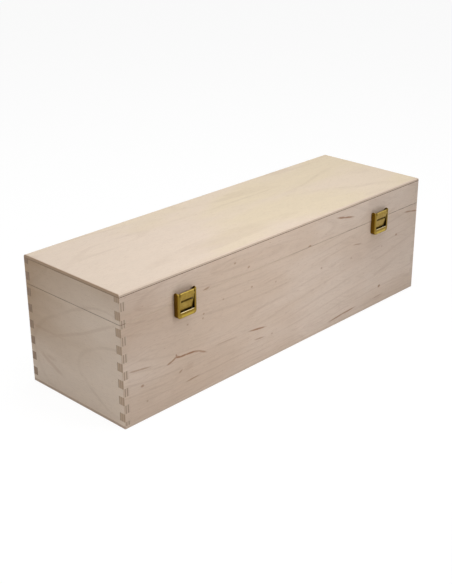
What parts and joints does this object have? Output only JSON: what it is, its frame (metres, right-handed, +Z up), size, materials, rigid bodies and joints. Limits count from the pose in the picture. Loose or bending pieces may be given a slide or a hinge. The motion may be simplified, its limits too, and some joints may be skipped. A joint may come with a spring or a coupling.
{
  "type": "wooden wine box",
  "caption": "Long finger-jointed plywood box for a bottle, with a shallow lid hinged along the back and brass snap latches on the front.",
  "frame": {"origin": "centre of the underside of the bottom panel", "axes": "+X along the box to the right seen from the latch side, -Y out of the front with the latches, +Z up"},
  "size_m": [0.43, 0.141, 0.129],
  "materials": {
    "board_plywood": "fine-sanded untreated birch plywood, satin",
    "thin_plywood": "fine-sanded untreated birch plywood, satin",
    "latch_brass": "bright brass-plated sheet",
    "hinge_brass": "bright brass-plated sheet",
    "brass_fixings": "brass-plated"
  },
  "bodies": {
    "box_body": {"front_wall": "board_plywood", "back_wall": "board_plywood", "left_end_wall": "board_plywood", "right_end_wall": "board_plywood", "bottom_panel": "thin_plywood", "left_catch_plate": "latch_brass", "right_catch_plate": "latch_brass", "catch_plate_screws": "brass_fixings", "left_hinge_body_leaf": "hinge_brass", "right_hinge_body_leaf": "hinge_brass", "left_hinge_pin": "brass_fixings", "right_hinge_pin": "brass_fixings", "hinge_body_screws": "brass_fixings"},
    "lid": {"lid_front_rail": "board_plywood", "lid_back_rail": "board_plywood", "lid_left_rail": "board_plywood", "lid_right_rail": "board_plywood", "lid_top_panel": "thin_plywood", "left_hinge_lid_leaf": "hinge_brass", "right_hinge_lid_leaf": "hinge_brass", "hinge_lid_screws": "brass_fixings", "left_latch_bracket": "latch_brass", "right_latch_bracket": "latch_brass", "left_latch_pin": "brass_fixings", "right_latch_pin": "brass_fixings", "latch_bracket_screws": "brass_fixings"},
    "left_flap": {"left_latch_flap": "latch_brass"},
    "right_flap": {"right_latch_flap": "latch_brass"}
  },
  "joints": [
    {"name": "lid_hinge", "type": "hinge", "parent": "box_body", "child": "lid", "pos_m": [0, 0.06775, 0.101], "axis": [-1, 0, 0], "range_deg": [0, 180]},
    {"name": "left_latch_pivot", "type": "hinge", "parent": "lid", "child": "left_flap", "pos_m": [-0.142, -0.06905, 0.10895], "axis": [-1, 0, 0], "range_deg": [0, 135]},
    {"name": "right_latch_pivot", "type": "hinge", "parent": "lid", "child": "right_flap", "pos_m": [0.142, -0.06905, 0.10895], "axis": [-1, 0, 0], "range_deg": [0, 135]}
  ]
}
